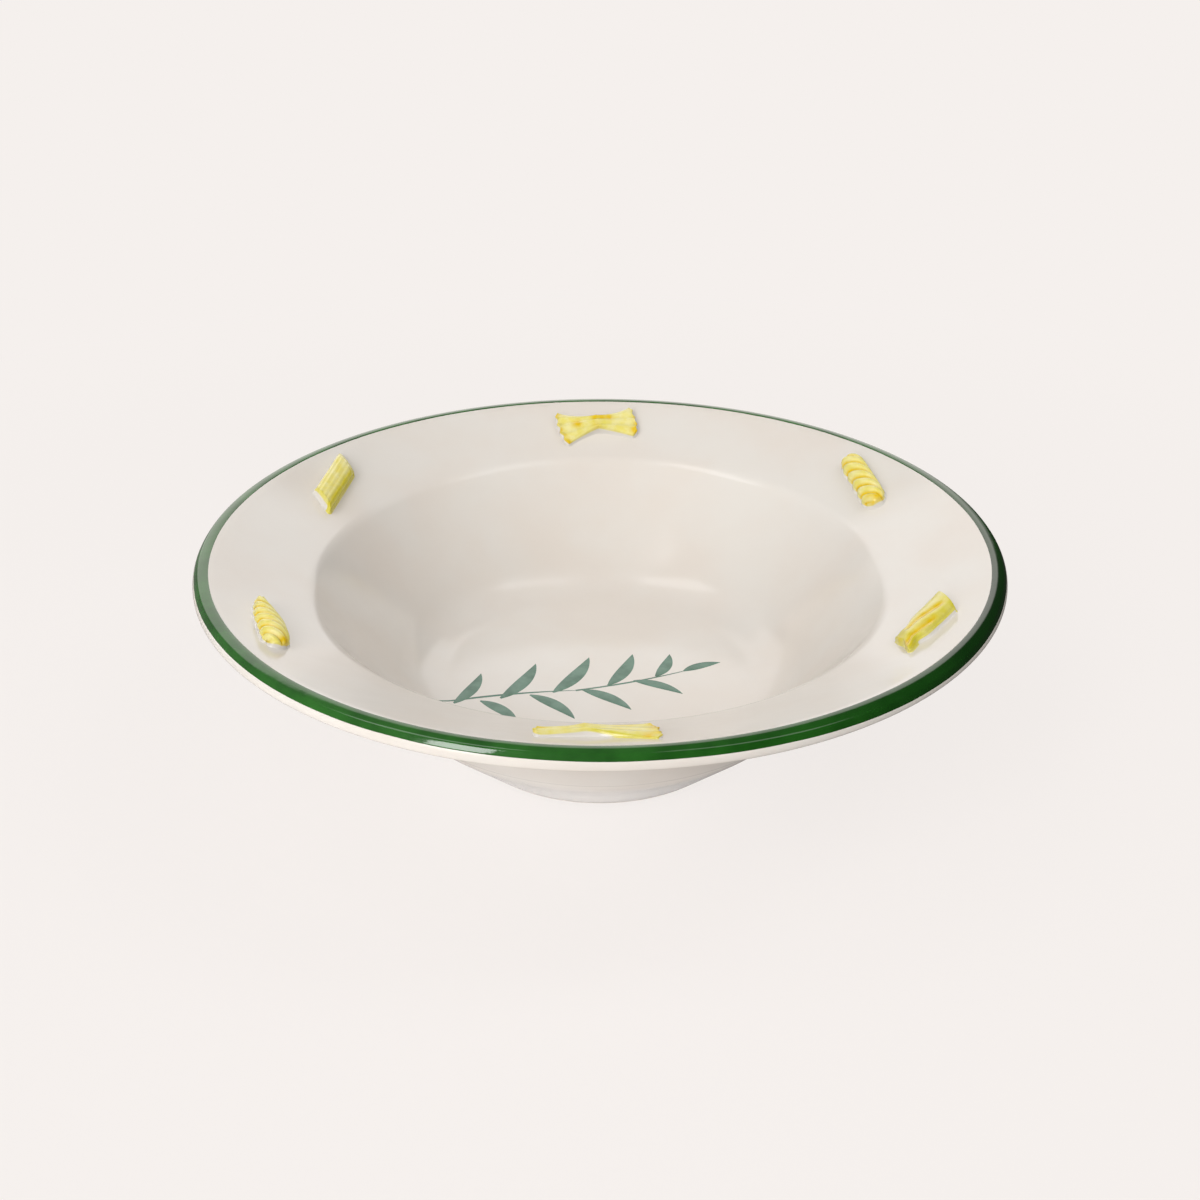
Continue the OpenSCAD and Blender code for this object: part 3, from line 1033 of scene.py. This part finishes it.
def make_world():
    """Pale light all round. The camera sees the backdrop's plain colour."""
    world = bpy.data.worlds.new("studio")
    bpy.context.scene.world = world
    nodes = Nodes(world, "ShaderNodeOutputWorld")
    direction = nodes.add("ShaderNodeTexCoord").outputs["Generated"]
    axes = nodes.axes(direction)
    high = nodes.ramp(axes["Z"], *WORLD_UPWARD)
    low_share = nodes.ramp(axes["X"], *WORLD_RIGHTWARD, 1, WORLD_LOW_RIGHT)
    strength = nodes.math("MULTIPLY", nodes.math("MAXIMUM", high, low_share), WORLD_LIGHT)
    light = nodes.shader("ShaderNodeBackground", WORLD_TINT, strength)
    mirrored = nodes.shader("ShaderNodeBackground", BACKGROUND, mirrored_light(nodes, direction))
    backdrop = nodes.shader("ShaderNodeBackground", BACKGROUND)
    by_rays(nodes, light, mirrored, backdrop)


def floor_material():
    """Seen directly it is the backdrop's colour, and near the plate it also takes a share of
    the plate's shadow."""
    nodes = material_nodes("floor")
    place = nodes.place()
    x = nodes.axes(place)["X"]
    length = nodes.add("ShaderNodeVectorMath", operation="LENGTH")
    nodes.put(length.inputs[0], place)
    away = length.outputs["Value"]

    left_share = nodes.ramp(x, *BOUNCE_FADE, 1, BOUNCE_RIGHT)
    bounced = nodes.shader("ShaderNodeBsdfDiffuse", nodes.mix(left_share, BLACK, BACKGROUND))
    contact = nodes.ramp(away, *CONTACT_FADE, CONTACT_SHARE, 1)
    strength = nodes.ramp(away, *FLOOR_GLOW_FADE, FLOOR_GLOW_NEAR, FLOOR_GLOW_FAR)
    glow = nodes.shader("ShaderNodeEmission", FLOOR_TINT, nodes.math("MULTIPLY", strength, contact))
    plain = nodes.add("ShaderNodeAddShader")
    nodes.put(plain.inputs[0], bounced.outputs[0])
    nodes.put(plain.inputs[1], glow.outputs[0])

    under_rim = nodes.ramp(away, *UNDER_RIM_FADE, UNDER_RIM_MIRRORED, 0)
    right_share = nodes.ramp(x, *UNDER_RIM_TURN, 1, UNDER_RIM_RIGHT)
    under_rim = nodes.math("MULTIPLY", under_rim, right_share)
    strength = nodes.math("MAXIMUM", mirrored_light(nodes, place), under_rim)
    mirrored = nodes.shader("ShaderNodeEmission", BACKGROUND, strength)

    backdrop = nodes.shader("ShaderNodeEmission", BACKGROUND)
    lit = nodes.shader("ShaderNodeBsdfDiffuse", BACKGROUND)
    seen = nodes.blend(nodes.ramp(away, *SHADOW_FADE, SHADOW_SHARE, 0), backdrop, lit)
    by_rays(nodes, plain, mirrored, seen)
    return nodes.owner


def make_floor():
    """A pale table top."""
    angles = [2 * math.pi * i / TABLE_SIDES for i in range(TABLE_SIDES)]
    ring = [(TABLE_R_M * math.cos(a), TABLE_R_M * math.sin(a), 0) for a in angles]
    mesh = bpy.data.meshes.new("floor")
    mesh.from_pydata(ring, [], [list(range(TABLE_SIDES))])
    mesh.materials.append(floor_material())
    floor = bpy.data.objects.new("floor", mesh)
    bpy.context.scene.collection.objects.link(floor)


def make_lamp(name, place, size, power, mirrored):
    """A softbox that faces the plate."""
    light = bpy.data.lights.new(name, "AREA")
    light.shape = "RECTANGLE"
    light.size, light.size_y = size
    light.energy = power
    lamp = bpy.data.objects.new(name, light)
    lamp.location = place
    lamp.rotation_euler = (LAMP_TARGET - lamp.location).to_track_quat("-Z", "Y").to_euler()
    lamp.visible_glossy = mirrored
    bpy.context.scene.collection.objects.link(lamp)


make_camera()
make_world()
make_floor()
for lamp_name, lamp_settings in LAMPS.items():
    make_lamp(lamp_name, *lamp_settings)
make_body()
make_foot()
make_band()
make_reliefs()
make_sprig()

bpy.context.scene.view_settings.view_transform = "Standard"
